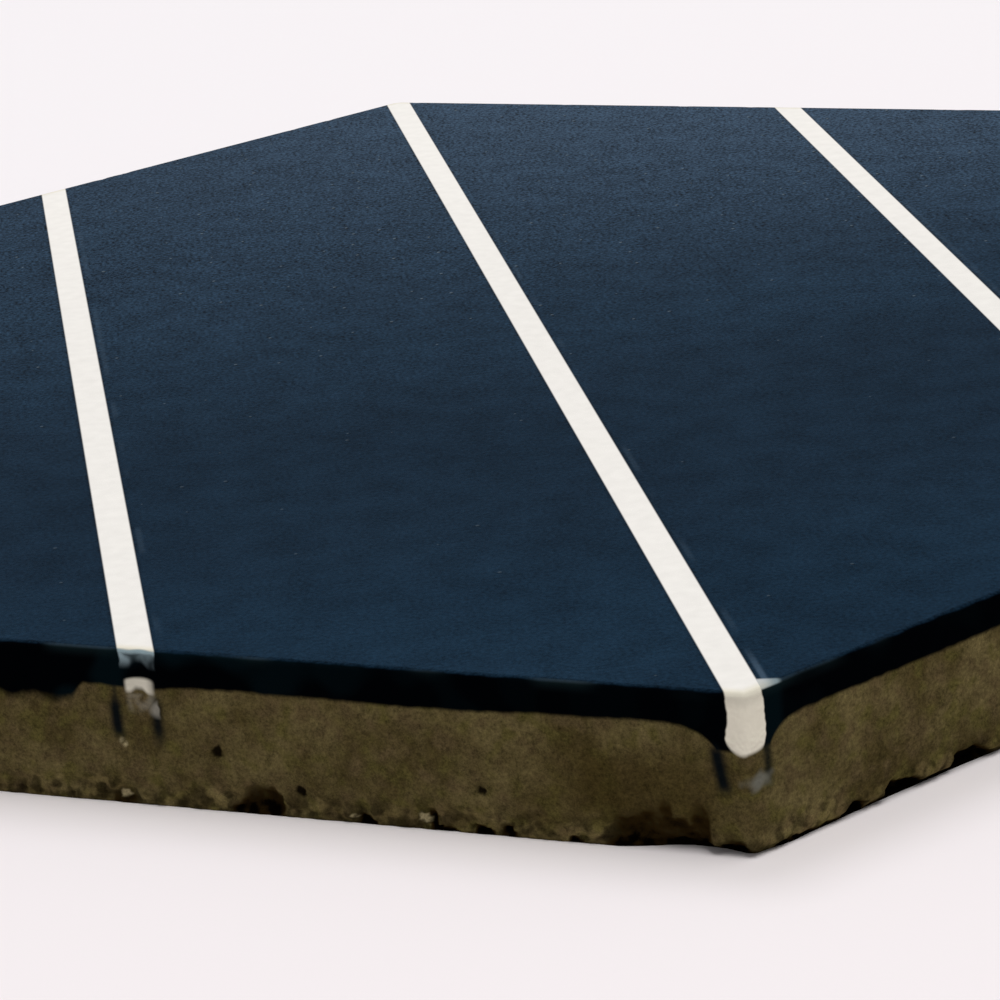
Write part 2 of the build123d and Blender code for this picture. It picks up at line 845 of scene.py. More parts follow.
@dataclass(frozen=True)
class SideMarks:
    """The bites, air holes, pale grains and worn stretches of the two sides in view."""

    bites: tuple[Bite, ...] = (
        Bite(Side.LEFT, 48.8, 5.6, 4.5, 0.6, soft=1.6, dirt_and_shade=0.55),
        Bite(Side.LEFT, 49.8, 1.2, 5.6, 0.35, soft=1.8, dirt_and_shade=0.6),
        Bite(Side.LEFT, 52.7, 1.4, 5.6, 0.45, soft=1.8, dirt_and_shade=0.65),
        Bite(Side.LEFT, 51.9, 2.5, 2.9, 1.1, soft=2.0),
        Bite(Side.LEFT, 55.9, 1.7, 2.1, 0.8, soft=1.3, dirt_and_shade=0.85),
        Bite(Side.LEFT, 41.0, 0.8, 1.0, 0.5, soft=0.8, dirt_and_shade=0.85),
        Bite(Side.LEFT, 34.6, 0.75, 1.3, 0.6, soft=1.0, dirt_and_shade=0.85),
        Bite(Side.LEFT, 32.3, 0.9, 1.2, 0.6, soft=0.9, dirt_and_shade=0.95),
        Bite(Side.LEFT, 27.6, 0.6, 2.3, 0.6, soft=1.4, dirt_and_shade=0.95),
        Bite(Side.LEFT, 28.8, 1.3, 0.8, 0.5, soft=0.7),
        Bite(Side.LEFT, 21.2, 0.9, 1.1, 0.7, soft=0.8),
        Bite(Side.LEFT, 10.4, 3.0, 3.7, 0.6, soft=1.9, dirt_and_shade=0.6, lean=-0.35),
        Bite(Side.LEFT, 11.7, 1.5, 1.8, 0.8, soft=1.8, dirt_and_shade=0.6),
        Bite(Side.LEFT, -3.1, 1.6, 2.4, 0.3, soft=2.0, dirt_and_shade=0.4),
        Bite(Side.RIGHT, -53.6, 1.4, 1.1, 0.8, soft=0.7, dirt_and_shade=0.75),
        Bite(Side.RIGHT, -45.4, 1.5, 1.7, 1.3, soft=0.7),
        Bite(Side.RIGHT, -38.9, 3.3, 1.7, 1.4, soft=0.7, lean=0.7),
        Bite(Side.RIGHT, -30.6, 3.2, 2.1, 1.4, soft=0.8, lean=0.45),
        # These thin bites along the foot are painted as a dark shadow line where the tile meets the
        # floor.
        Bite(Side.RIGHT, -49.5, 3.6, 0.7, 0.3, soft=0.6, dirt_and_shade=0.8),
        Bite(Side.RIGHT, -42.4, 1.8, 0.5, 0.3, soft=0.4, dirt_and_shade=0.7),
        Bite(Side.RIGHT, -34.9, 2.6, 0.8, 0.4, soft=0.6, dirt_and_shade=0.9),
    )
    pits: tuple[Dot, ...] = (
        Dot(Side.LEFT, 32.6, 4.4, 0.8),
        Dot(Side.LEFT, 15.0, 2.7, 0.8),
        Dot(Side.LEFT, 7.0, 6.0, 0.85),
    )
    grains: tuple[Dot, ...] = (
        Dot(Side.LEFT, 26.75, 1.1, 0.8),
        Dot(Side.LEFT, 20.0, 0.8, 0.5),
        Dot(Side.LEFT, -2.3, 6.4, 0.55),
        Dot(Side.LEFT, -3.0, 0.9, 0.65),
    )
    worn: tuple[Wear, ...] = (
        Wear(Side.LEFT, 53.0, 8.5, 1.6),
        Wear(Side.RIGHT, -36.0, 22.0, 0.45),
    )
    ragged: Cloud = Cloud(1.8, 10.0, detail=1.0, reach=0.35)
    gritty: Cloud = Cloud(0.8, 11.0, detail=1.0, reach=0.15)
    foot_shadow: float = 0.6
    foot_height: Span = (1.6, 0.4)

    def bitten(self, sketch: NodeSketch, where: Field, apothem: Term) -> tuple[Field, Field]:
        """Lays all the bites over each other, with ragged outlines.

        Args:
            sketch: The tree's sketch.
            where: Place in millimetres.
            apothem: How far out the sides stand from the tile's middle.

        Returns:
            How deep they are in millimetres, and how dark they are painted, dirty and shaded, from 0 to
            1.
        """
        where = sketch.drift(sketch.drift(where, self.ragged), self.gritty)
        _, _, height = sketch.split(where)
        # Painted shadow: the bites are painted darker towards the foot, where the floor under a hollow
        # lies in shade.
        lower = 1.0 + self.foot_shadow * sketch.ease(height, *self.foot_height)
        deepest, darkest = 0.0, 0.0
        for side in Side:
            near, along = sketch.on_side(where, side, apothem)
            for bite in self.bites:
                if bite.side is side:
                    inside = bite.inside(sketch, along, height) * near
                    deepest = sketch.largest(deepest, inside * bite.depth)
                    darkest = sketch.largest(darkest, inside * lower * bite.dirt_and_shade)
        return deepest, darkest

    def lay(
        self, marks: tuple[Union[Dot, Wear], ...], sketch: NodeSketch, where: Field, apothem: Term
    ) -> Field:
        """Lays dots or worn stretches over each other.

        Args:
            marks: The marks.
            sketch: The tree's sketch.
            where: Place in millimetres.
            apothem: How far out the sides stand from the tile's middle.

        Returns:
            The largest of what the marks give at each place, and 0 away from them.
        """
        _, _, height = sketch.split(where)
        most = 0.0
        for side in Side:
            near, along = sketch.on_side(where, side, apothem)
            for mark in marks:
                if mark.side is side:
                    most = sketch.largest(most, mark.inside(sketch, along, height) * near)
        return most


@dataclass(frozen=True)
class CrumbledEdge:
    """How the tile's back edge breaks away, and how rough the mould left its sides."""

    reach: float = 3.8
    scoop_depth: float = 1.3
    chip_depth: float = 0.7
    pebble_depth: float = 0.5
    grain_depth: float = 0.09
    pit_depth: float = 0.5
    nick_depth: float = 0.2
    foot_wear: float = 0.2
    seed: float = 3.0
    deepest: float = 1.8
    marks: SideMarks = SideMarks()
    mark_push: Cloud = Cloud(0.9, 12.0, detail=1.0, reach=0.2)
    seed_step: Place = (211.0, 97.0, 53.0)
    corner_power: float = 60.0
    reaches: Cloud = Cloud(15.0, 1.0, detail=2.0)
    reach_range: Span = (0.4, 1.6)
    reach_core: float = 0.35
    right_sound: float = 0.7
    push: Cloud = Cloud(2.2, 2.0, detail=1.0, reach=0.7)
    scoops: Scatter = Scatter(7.0, 3.0, radius=3.4, share=0.28)
    chips: Scatter = Scatter(2.8, 4.0, radius=1.4, share=0.5)
    left_sound: float = 0.6
    pebble_push: Cloud = Cloud(0.9, 5.0, detail=1.0, reach=0.25)
    pebbles: Scatter = Scatter(1.5, 6.0)
    pebble_range: Span = (0.15, 1.0)
    grain: Cloud = Cloud(0.9, 7.0, detail=2.0, rough=0.6)
    grain_range: Span = (0.3, 2.3)
    blowholes: Scatter = Scatter(9.0, 8.0, radius=0.9, share=0.2)
    blowhole_depth: Span = (4.8, 6.0)
    pit_inset: Span = (2.0, 0.5)
    nicks: Cloud = Cloud(2.2, 9.0, detail=2.0, edge=(0.56, 0.74))
    nick_reach: Span = (1.2, 0.3)
    lip_height: Span = (0.0, 0.7)
    foot_height: Span = (1.0, 0.0)
    carved_inset: Span = (8.0, 3.0)
    chip_shade: float = 0.7
    blowhole_shade: float = 0.8
    pebble_shade: float = 0.4

    def inputs(self) -> dict[str, float]:
        """The tree's named sizes; the first two come from the blank."""
        return {
            "Apothem": 0.0,
            "Thickness": 0.0,
            "Reach": self.reach,
            "Scoop Depth": self.scoop_depth,
            "Chip Depth": self.chip_depth,
            "Pebble Depth": self.pebble_depth,
            "Grain Depth": self.grain_depth,
            "Pit Depth": self.pit_depth,
            "Nick Depth": self.nick_depth,
            "Foot Wear": self.foot_wear,
            "Deepest": self.deepest,
            "Seed": self.seed,
        }

    def tree(self) -> bpy.types.NodeTree:
        """Builds the geometry tree that carves the blank.

        Returns:
            The tree, with a named input for each size.
        """
        tree = bpy.data.node_groups.new("crumbled_edge", "GeometryNodeTree")
        interface = tree.interface
        interface.new_socket("Tile", in_out="INPUT", socket_type="NodeSocketGeometry")
        for name in self.inputs():
            interface.new_socket(name, in_out="INPUT", socket_type="NodeSocketFloat")
        interface.new_socket("Finish", in_out="INPUT", socket_type="NodeSocketMaterial")
        interface.new_socket("Tile", in_out="OUTPUT", socket_type="NodeSocketGeometry")
        sketch = NodeSketch(tree)
        entry = sketch.node("NodeGroupInput")
        size = {name: Field(sketch, entry.outputs[name]) for name in self.inputs()}
        position = Field(sketch, sketch.node("GeometryNodeInputPosition").outputs["Position"])
        where = sketch.scaled(position, 1.0 / MM)
        depth, shades = self.carving(sketch, where, size)
        inward = sketch.scaled(self.outward(sketch, where, size), depth * -MM)

        last = entry.outputs["Tile"]
        for name, shade in shades.items():
            keep = sketch.node("GeometryNodeStoreNamedAttribute", data_type="FLOAT", domain="POINT")
            keep.inputs["Name"].default_value = name
            tree.links.new(last, keep.inputs["Geometry"])
            sketch.plug(keep.inputs["Value"], shade)
            last = keep.outputs["Geometry"]
        carve = sketch.node("GeometryNodeSetPosition")
        tree.links.new(last, carve.inputs["Geometry"])
        sketch.plug(carve.inputs["Offset"], inward)
        realize = sketch.node("GeometryNodeRealizeInstances")
        tree.links.new(carve.outputs["Geometry"], realize.inputs["Geometry"])
        finish = sketch.node("GeometryNodeSetMaterial")
        tree.links.new(realize.outputs["Geometry"], finish.inputs["Geometry"])
        tree.links.new(entry.outputs["Finish"], finish.inputs["Material"])
        leave = sketch.node("NodeGroupOutput")
        tree.links.new(finish.outputs["Geometry"], leave.inputs["Tile"])
        return tree

    def outward(self, sketch: NodeSketch, where: Field, size: dict[str, Field]) -> Field:
        """The level direction out of the nearest side, which turns smoothly round a corner.

        Args:
            sketch: The geometry tree's sketch.
            where: Place in millimetres.
            size: The tree's named sizes.

        Returns:
            The direction, one unit long.
        """
        total = None
        for axis in side_axes():
            reached = sketch.along(where, axis) / size["Apothem"]
            pull = sketch.math("POWER", sketch.size_of(reached), self.corner_power)
            pull = pull * sketch.math("SIGN", reached)
            part = sketch.scaled(axis, pull)
            total = part if total is None else sketch.moved(total, part)
        made = sketch.node("ShaderNodeVectorMath", operation="NORMALIZE")
        sketch.plug(made.inputs[0], total)
        return Field(sketch, made.outputs["Vector"])

    def carving(
        self, sketch: NodeSketch, where: Field, size: dict[str, Field]
    ) -> tuple[Field, dict[str, Field]]:
        """How far each point is carved in, and where painted shade in hollows, dirty bites with painted
        shade and pale grains show.

        Args:
            sketch: The geometry tree's sketch.
            where: Place in millimetres.
            size: The tree's named sizes.

        Returns:
            The depth in millimetres, and the shades from 0 to 1 by the attribute that keeps them.
        """
        apothem, marks = size["Apothem"], self.marks
        _, _, z = sketch.split(where)
        inset = sketch.inset(where, apothem)
        below_face = size["Thickness"] - z
        bitten, dirt_and_shade = marks.bitten(sketch, where, apothem)
        uneven = sketch.drift(where, self.mark_push)
        holes, grains = (marks.lay(dots, sketch, uneven, apothem) for dots in (marks.pits, marks.grains))
        worn = marks.lay(marks.worn, sketch, where, apothem)
        on_left, on_right = (sketch.on_side(where, side, apothem)[0] for side in Side)
        where = sketch.moved(where, sketch.scaled(self.seed_step, size["Seed"]))

        reach = size["Reach"] * sketch.between(*self.reach_range, sketch.noise(where, self.reaches))
        broken = sketch.ease(sketch.length(inset, z), reach, reach * self.reach_core)
        broken = broken * (1.0 - self.right_sound * on_right)
        pushed = sketch.drift(where, self.push)
        scoops = self.scooped(sketch, pushed, self.scoops) * broken * (1.0 - on_left)
        chips = self.scooped(sketch, pushed, self.chips) * broken * (1.0 - self.left_sound * on_left)
        gap, _, _ = sketch.cells(sketch.drift(where, self.pebble_push), self.pebbles)
        pebbles = sketch.math("MINIMUM", gap * gap, 1.0) * broken
        blowholes = sketch.dots(where, self.blowholes, self.blowholes.share)
        blowholes = blowholes * sketch.ease(below_face, *self.blowhole_depth)
        blowholes = blowholes * (1.0 - on_left) * (1.0 - on_right)
        pits = sketch.largest(holes, blowholes) * sketch.ease(inset, *self.pit_inset)
        nicks = sketch.patches(where, self.nicks)
        nicks = nicks * sketch.ease(sketch.length(inset, below_face), *self.nick_reach)
        grain = sketch.noise(where, self.grain) * sketch.between(*self.grain_range, broken)
        lip = sketch.ease(z, *self.lip_height)
        carved = (
            sketch.largest(bitten, scoops * size["Scoop Depth"], chips * size["Chip Depth"]) * lip
            + pebbles * size["Pebble Depth"] * sketch.between(*self.pebble_range, lip)
            + grain * size["Grain Depth"]
            + pits * size["Pit Depth"]
            + nicks * size["Nick Depth"]
            + size["Foot Wear"] * sketch.ease(z, *self.foot_height) * (1.0 - on_left)
            + worn
        )
        settled = sketch.ease(inset, *self.carved_inset)
        depth = sketch.math("MINIMUM", carved * settled, size["Deepest"])
        # Shade to be painted into the hollows, chips, air holes and creases between pebbles.
        hollow_shading = sketch.largest(scoops, chips * self.chip_shade, blowholes * self.blowhole_shade, holes)
        hollow_shading = hollow_shading + self.pebble_shade * pebbles
        return depth, {HOLLOW_SHADE: hollow_shading, DIRT_AND_SHADE: dirt_and_shade, GRAINS: grains}

    def scooped(self, sketch: NodeSketch, where: Field, scatter: Scatter) -> Field:
        """Round scoops as struck chips leave them.

        Args:
            sketch: The geometry tree's sketch.
            where: Place in millimetres.
            scatter: Where the scoops are, and their radius.

        Returns:
            A field that is 1 at the bottom of a deep scoop and 0 outside.
        """
        distance, chance, strength = sketch.cells(where, scatter)
        across = distance / scatter.radius
        bowl = sketch.math("MAXIMUM", 1.0 - across * across, 0.0)
        bowl = bowl * sketch.math("LESS_THAN", chance, scatter.share)
        return bowl * sketch.between(scatter.smallest, 1.0, strength)

    def carve(
        self, blank: bpy.types.Object, plan: Hexagon, thickness: float, finish: bpy.types.Material
    ) -> bpy.types.Mesh:
        """Carves a blank and gives it its finish.

        Args:
            blank: The blank's object.
            plan: The tile's plan.
            thickness: The tile's thickness.
            finish: The material of the whole tile.

        Returns:
            The carved mesh, with no modifier on it.
        """
        carving = blank.modifiers.new("crumbled_edge", "NODES")
        carving.node_group = self.tree()
        values = {**self.inputs(), "Apothem": plan.apothem, "Thickness": thickness, "Finish": finish}
        for item in carving.node_group.interface.items_tree:
            if item.in_out == "INPUT" and item.name in values:
                carving[item.identifier] = values[item.name]
        bpy.context.view_layer.update()
        evaluated = blank.evaluated_get(bpy.context.evaluated_depsgraph_get())
        carved = bpy.data.meshes.new_from_object(evaluated)
        blank.modifiers.remove(carving)
        return carved


@dataclass(frozen=True)
class Spot:
    """A place on the tile as its finish sees it, in millimetres and in shares from 0 to 1.

    The run goes down over the edge: below 0 on the face, above 0 on a side. Beside and across tell
    the place against the nearest stripe, in millimetres from its middle and from -1 to 1. The last
    three are shares: near a stripe, near the middle one, and on the face.
    """

    where: Field
    x: Field
    y: Field
    height: Field
    depth: Field
    run: Field
    beside: Field
    across: Field
    striped: Field
    cornered: Field
    on_face: Field


@dataclass(frozen=True)
class CornerEnd:
    """A stripe's end at a corner: it runs on down the side to a rounded tip, beside a spur."""

    depth: float = 5.45
    soft: float = 0.3
    left_slope: float = 1.97
    left_bend: float = 2.65
    right_slope: float = 0.25
    right_bend: float = 0.6
    right_power: float = 4.0
    spur_height: float = 1.9
    spur_slope: float = 0.7
    spur_start: Span = (0.8, 1.2)
    spur_end: Span = (0.35, 0.8)
    spur_top: Span = (-0.2, 0.25)
    spur_low: Span = (0.2, -0.15)
    spur_fade: Span = (1.7, 3.3)
    spur_white: Span = (0.5, 0.05)
    spur_thin: float = 0.6

    def whiteness(self, sketch: NodeSketch, spot: Spot, level: Field) -> Field:
        """How much white shows down the stripe.

        Args:
            sketch: The material's sketch.
            spot: The place on the tile.
            level: Place down the side in millimetres, below 0 on the face.

        Returns:
            The share of white, from 0 to 1.
        """
        left = sketch.math("MINIMUM", spot.across, 0.0)
        right = sketch.math("MAXIMUM", spot.across, 0.0)
        left_rise = left * (self.left_slope + self.left_bend * left)
        right_rise = self.right_bend * sketch.math("POWER", right, self.right_power)
        bottom = self.depth - left_rise + (right * self.right_slope - right_rise)
        return sketch.ease(level, bottom + self.soft, bottom - self.soft)

    def spur(self, sketch: NodeSketch, spot: Spot, stripe_half: float) -> Field:
        """The short run of slip beside the near corner's stripe, along the face's edge.

        Args:
            sketch: The material's sketch.
            spot: The place on the tile.
            stripe_half: Half the stripe's width, in millimetres.

        Returns:
            1 in the spur and 0 outside.
        """
        height = self.spur_height - self.spur_slope * (spot.x - stripe_half)
        inside = sketch.ease(spot.run + height, *self.spur_top) * sketch.ease(spot.run, *self.spur_low)
        near_corner = sketch.ease(spot.x, *self.spur_start) * sketch.math("LESS_THAN", spot.y, 0.0)
        return inside * near_corner * sketch.ease(height, *self.spur_end)

    def spur_whiteness(self, sketch: NodeSketch, spot: Spot) -> Field:
        """How white the spur is, which fades away from the stripe."""
        return sketch.between(*self.spur_white, sketch.ease(spot.x, *self.spur_fade))


@dataclass(frozen=True)
class WipedEnd:
    """A stripe's end in the middle of a side: wiped thin over the edge, with a cap lower down.

    Places across the stripe go from -1 to 1, and places down the side are in millimetres.
    """

    face_cut: Span = (-0.05, -0.45)
    cap_white: float = 0.8
    cap_top: float = 2.45
    cap_top_bend: float = 0.55
    cap_top_soft: float = 0.5
    cap_low: float = 4.1
    cap_low_soft: Span = (-0.3, 0.35)
    cap_drop: float = 0.3
    cap_drop_across: Span = (0.1, 0.8)
    cap_across: Around = (-0.03, 0.9, 0.62)
    cap_worn: float = 0.45
    cap_worn_across: Span = (0.3, 0.75)
    arch_rise: float = 0.45
    arch_across: Around = (-0.05, 0.55, 0.1)
    leg_white: float = 0.28
    leg_across: float = 0.85
    leg_level: float = 5.7
    leg_slimness: float = 1.5
    leg_edge: Span = (1.0, 0.2)
    fleck_white: float = 0.14
    flecks: Cloud = Cloud(0.9, 24.0, edge=(0.3, 0.75))
    fleck_level: Band = (4.0, 4.5, 5.2, 6.6)
    fleck_across: Around = (0.0, 0.95, 0.5)
    smear: float = 0.85
    smears: Cloud = Cloud(0.9, 25.0, edge=(0.1, 0.7))
    smear_top: Span = (-0.8, -0.3)
    smear_low: Span = (2.0, 0.5)
    smear_whole: float = 0.9
    smear_whole_run: Span = (0.7, 0.1)
    notch_rise: float = 0.7
    notch_across: Around = (0.05, 0.6, 0.1)

    def whiteness(self, sketch: NodeSketch, spot: Spot, level: Field) -> Field:
        """How much white shows along the stripe.

        Args:
            sketch: The material's sketch.
            spot: The place on the tile.
            level: Place down the side in millimetres, below 0 on the face.

        Returns:
            The share of white, from 0 to 1.
        """
        open_face = sketch.ease(level, *self.face_cut)
        leg_across = (spot.across - self.leg_across) * self.leg_slimness
        from_leg = sketch.length(leg_across, level - self.leg_level)
        leg = self.leg_white * sketch.ease(from_leg, *self.leg_edge)
        flecks = self.fleck_white * sketch.band(level, *self.fleck_level)
        flecks = flecks * sketch.patches(spot.where, self.flecks)
        flecks = flecks * sketch.around(spot.across, *self.fleck_across)
        return sketch.largest(open_face, self.cap(sketch, spot, level), leg, flecks)

    def cap(self, sketch: NodeSketch, spot: Spot, level: Field) -> Field:
        """The cap of white below the wiped edge, hollowed from below and worn at the right.

        Args:
            sketch: The material's sketch.
            spot: The place on the tile.
            level: Place down the side in millimetres, below 0 on the face.

        Returns:
            The share of white, from 0 to 1.
        """
        across = spot.across
        drop = self.cap_drop * sketch.ease(across, *self.cap_drop_across)
        arch = self.arch_rise * sketch.around(across, *self.arch_across)
        top = self.cap_top + self.cap_top_bend * across * across
        low = self.cap_low + drop - arch
        fading, end = (low + soft for soft in self.cap_low_soft)
        cap = self.cap_white * sketch.band(level, top, top + self.cap_top_soft, fading, end)
        cap = cap * sketch.around(across, *self.cap_across)
        return cap * (1.0 - self.cap_worn * sketch.ease(across, *self.cap_worn_across))

    def wiped(self, sketch: NodeSketch, spot: Spot) -> Field:
        """Where the stripe is wiped thin over the edge.

        Args:
            sketch: The material's sketch.
            spot: The place on the tile.

        Returns:
            The share of thin slip along the stripe, from 0 to 1.
        """
        notch = self.notch_rise * sketch.around(spot.across, *self.notch_across)
        over_edge = sketch.ease(spot.run, *self.smear_top)
        over_edge = over_edge * sketch.ease(spot.run + notch, *self.smear_low)
        whole = self.smear_whole * sketch.ease(spot.run, *self.smear_whole_run)
        patchy = sketch.largest(sketch.patches(spot.where, self.smears), whole)
        return self.smear * over_edge * patchy * (1.0 - spot.cornered)


@dataclass(frozen=True)
class StripeInlay:
    """The white stripes set into the face, one in the middle and one on each side of it."""

    pitch: float
    width: float = 3.2
    white: Colour = (0.802, 0.780, 0.742)
    white_dull: Colour = (0.728, 0.688, 0.575)
    thin_slip: Colour = (0.265, 0.350, 0.385)
    pitches_striped: Span = (1.6, 1.4)
    pitches_cornered: Span = (0.6, 0.4)
    edge_soft: float = 0.1
    edge_lost: float = 0.1
    edge_waves: Cloud = Cloud(1.7, 23.0, reach=0.09)
    edge_nicks: Cloud = Cloud(0.7, 26.0, reach=0.06)
    wavy_run: Span = (0.0, 1.5)
    flare: float = 0.28
    flare_half: float = 0.5
    flare_left: Span = (0.5, 5.0)
    flare_right: Band = (0.3, 1.5, 4.0, 5.6)
    end_waves: Cloud = Cloud(1.8, 22.0, reach=0.12)
    clean_run: Span = (-0.2, -1.6)
    rubbed: float = 0.17
    rubbed_run: Band = (-0.7, 0.0, 0.5, 1.6)
    far_lift: float = 0.05
    far_y: Span = (-10.0, 110.0)
    mottles: Cloud = Cloud(1.6, 61.0, detail=1.0)
    mottle: Span = (0.94, 1.06)
    corner_end: CornerEnd = CornerEnd()
    side_end: WipedEnd = WipedEnd()

    @property
    def half(self) -> float:
        """Half a stripe's width."""
        return self.width / 2

    def inside(self, sketch: NodeSketch, spot: Spot) -> Field:
        """Where the stripes are; down the sides their edges waver, and flare at a corner.

        Args:
            sketch: The material's sketch.
            spot: The place on the tile.

        Returns:
            1 in a stripe and 0 beside it.
        """
        waver = sketch.ripple(spot.where, self.edge_waves) + sketch.ripple(spot.where, self.edge_nicks)
        waver = (waver - self.edge_lost) * sketch.ease(spot.run, *self.wavy_run)
        left = self.flare * sketch.ease(spot.run, *self.flare_left)
        right = self.flare * sketch.band(spot.run, *self.flare_right)
        flare = left * sketch.ease(spot.beside, 0.0, -self.flare_half)
        flare = flare + right * sketch.ease(spot.beside, 0.0, self.flare_half)
        edge = self.half + waver + spot.cornered * flare
        outer, inner = edge + self.edge_soft, edge - self.edge_soft
        return sketch.ease(sketch.size_of(spot.beside), outer, inner) * spot.striped

    def whiteness(self, sketch: NodeSketch, spot: Spot) -> Field:
        """How much white shows along a stripe, on the face and down the sides at its ends.

        Args:
            sketch: The material's sketch.
            spot: The place on the tile.

        Returns:
            The share of white, from 0 to 1.
        """
        level = spot.run + sketch.ripple(spot.where, self.end_waves)
        at_side = self.side_end.whiteness(sketch, spot, level)
        at_corner = self.corner_end.whiteness(sketch, spot, level)
        return sketch.between(at_side, at_corner, spot.cornered)

    def chalk(self, sketch: NodeSketch, spot: Spot) -> Field:
        """The white of the stripes, cleaner on the face than at their ends.

        Args:
            sketch: The material's sketch.
            spot: The place on the tile.

        Returns:
            The colour.
        """
        shade = sketch.blend(self.white_dull, self.white, sketch.ease(spot.run, *self.clean_run))
        rubbed = self.rubbed * sketch.band(spot.run, *self.rubbed_run)
        lift = self.far_lift * sketch.ease(spot.y, *self.far_y)
        mottle = sketch.between(*self.mottle, sketch.noise(spot.where, self.mottles))
        return sketch.scaled(shade, mottle + lift - rubbed)

    def dress(self, sketch: NodeSketch, spot: Spot, under: Field) -> tuple[Field, Field]:
        """Lays the stripes over the rest of the tile.

        Args:
            sketch: The material's sketch.
            spot: The place on the tile.
            under: The colour below them.

        Returns:
            The colour with the stripes, and the share of white in it.
        """
        inside = self.inside(sketch, spot)
        spur = self.corner_end.spur(sketch, spot, self.half)
        spur_white = self.corner_end.spur_whiteness(sketch, spot) * spur
        whiteness = sketch.largest(inside * self.whiteness(sketch, spot), spur_white)
        wiped = self.side_end.wiped(sketch, spot) * inside
        thin = sketch.largest(wiped, self.corner_end.spur_thin * spur)
        colour = sketch.blend(under, self.thin_slip, thin)
        return sketch.blend(colour, self.chalk(sketch, spot), whiteness), whiteness


@dataclass(frozen=True)
class PigmentRuns:
    """The runs of pigment below a stripe's end: two dark streaks, and a smudge at one corner."""

    streak_blue: Colour = (0.0020, 0.0040, 0.0058)
    strength: float = 0.97
    wander: Cloud = Cloud(3.5, 31.0, reach=0.08)
    swell: Span = (4.2, 5.8)
    slant: float = 0.14
    slant_run: float = 7.0
    left_beside: float = -2.3
    left_thin: float = 0.4
    left_swell: float = 0.5
    left_core: float = 0.12
    left_start: Span = (2.8, 3.4)
    left_lowest: Span = (9.5, 10.1)
    left_fade: float = 1.6
    left_faint: float = 0.65
    right_beside: Span = (1.2, 1.8)
    right_edge: Span = (0.85, 0.05)
    right_run: Band = (3.3, 5.6, 7.6, 10.2)
    right_strength: Span = (0.95, 0.85)
    slate: Colour = (0.130, 0.128, 0.105)
    smudge_x: float = 0.9
    smudge_run: float = 8.3
    smudge_half_width: float = 1.15
    smudge_half_height: float = 0.7
    smudge_edge: Span = (1.6, 0.0)
    smudge_ragged: Cloud = Cloud(0.9, 33.0, reach=0.3)

    def left_streak(self, sketch: NodeSketch, spot: Spot, wander: Field) -> Field:
        """The streak at the left of a stripe, which swells as it runs down.

        Args:
            sketch: The material's sketch.
            spot: The place on the tile.
            wander: How far the streak strays, in millimetres.

        Returns:
            1 in the streak and 0 outside.
        """
        swell = sketch.ease(spot.run, *self.swell)
        slant = self.slant * spot.cornered * (spot.run - self.slant_run)
        away = sketch.size_of(spot.beside - self.left_beside - slant + wander)
        streak = sketch.ease(away, self.left_thin + self.left_swell * swell, self.left_core * swell)
        lowest = sketch.between(*self.left_lowest, spot.cornered)
        streak = streak * sketch.band(spot.run, *self.left_start, lowest - self.left_fade, lowest)
        faint = sketch.between(self.left_faint, 1.0, swell)
        return streak * sketch.between(faint, swell, spot.cornered)

    def right_streak(self, sketch: NodeSketch, spot: Spot, wander: Field) -> Field:
        """The streak at the right of a stripe, below its white.

        Args:
            sketch: The material's sketch.
            spot: The place on the tile.
            wander: How far the streak strays, in millimetres.

        Returns:
            1 in the streak and 0 outside.
        """
        beside = sketch.between(*self.right_beside, spot.cornered)
        streak = sketch.ease(sketch.size_of(spot.beside - beside + wander), *self.right_edge)
        streak = streak * sketch.band(spot.run, *self.right_run)
        return streak * sketch.between(*self.right_strength, spot.cornered)

    def smudge(self, sketch: NodeSketch, spot: Spot) -> Field:
        """The slate-grey smudge of slip below the near corner's stripe.

        Args:
            sketch: The material's sketch.
            spot: The place on the tile.

        Returns:
            1 in its middle and 0 outside.
        """
        across = (spot.x - self.smudge_x) / self.smudge_half_width
        down = (spot.run - self.smudge_run) / self.smudge_half_height
        far = sketch.length(across, down) + sketch.ripple(spot.where, self.smudge_ragged)
        return sketch.ease(far, *self.smudge_edge) * sketch.math("LESS_THAN", spot.y, 0.0)

    def dress(self, sketch: NodeSketch, spot: Spot, under: Field) -> Field:
        """Lays the runs over the sides.

        Args:
            sketch: The material's sketch.
            spot: The place on the tile.
            under: The colour below them.

        Returns:
            The colour with the runs.
        """
        wander = sketch.ripple(spot.where, self.wander)
        left = self.left_streak(sketch, spot, wander)
        right = self.right_streak(sketch, spot, wander)
        streaks = self.strength * sketch.largest(left, right) * spot.striped
        colour = sketch.blend(under, self.streak_blue, streaks)
        return sketch.blend(colour, self.slate, self.smudge(sketch, spot))


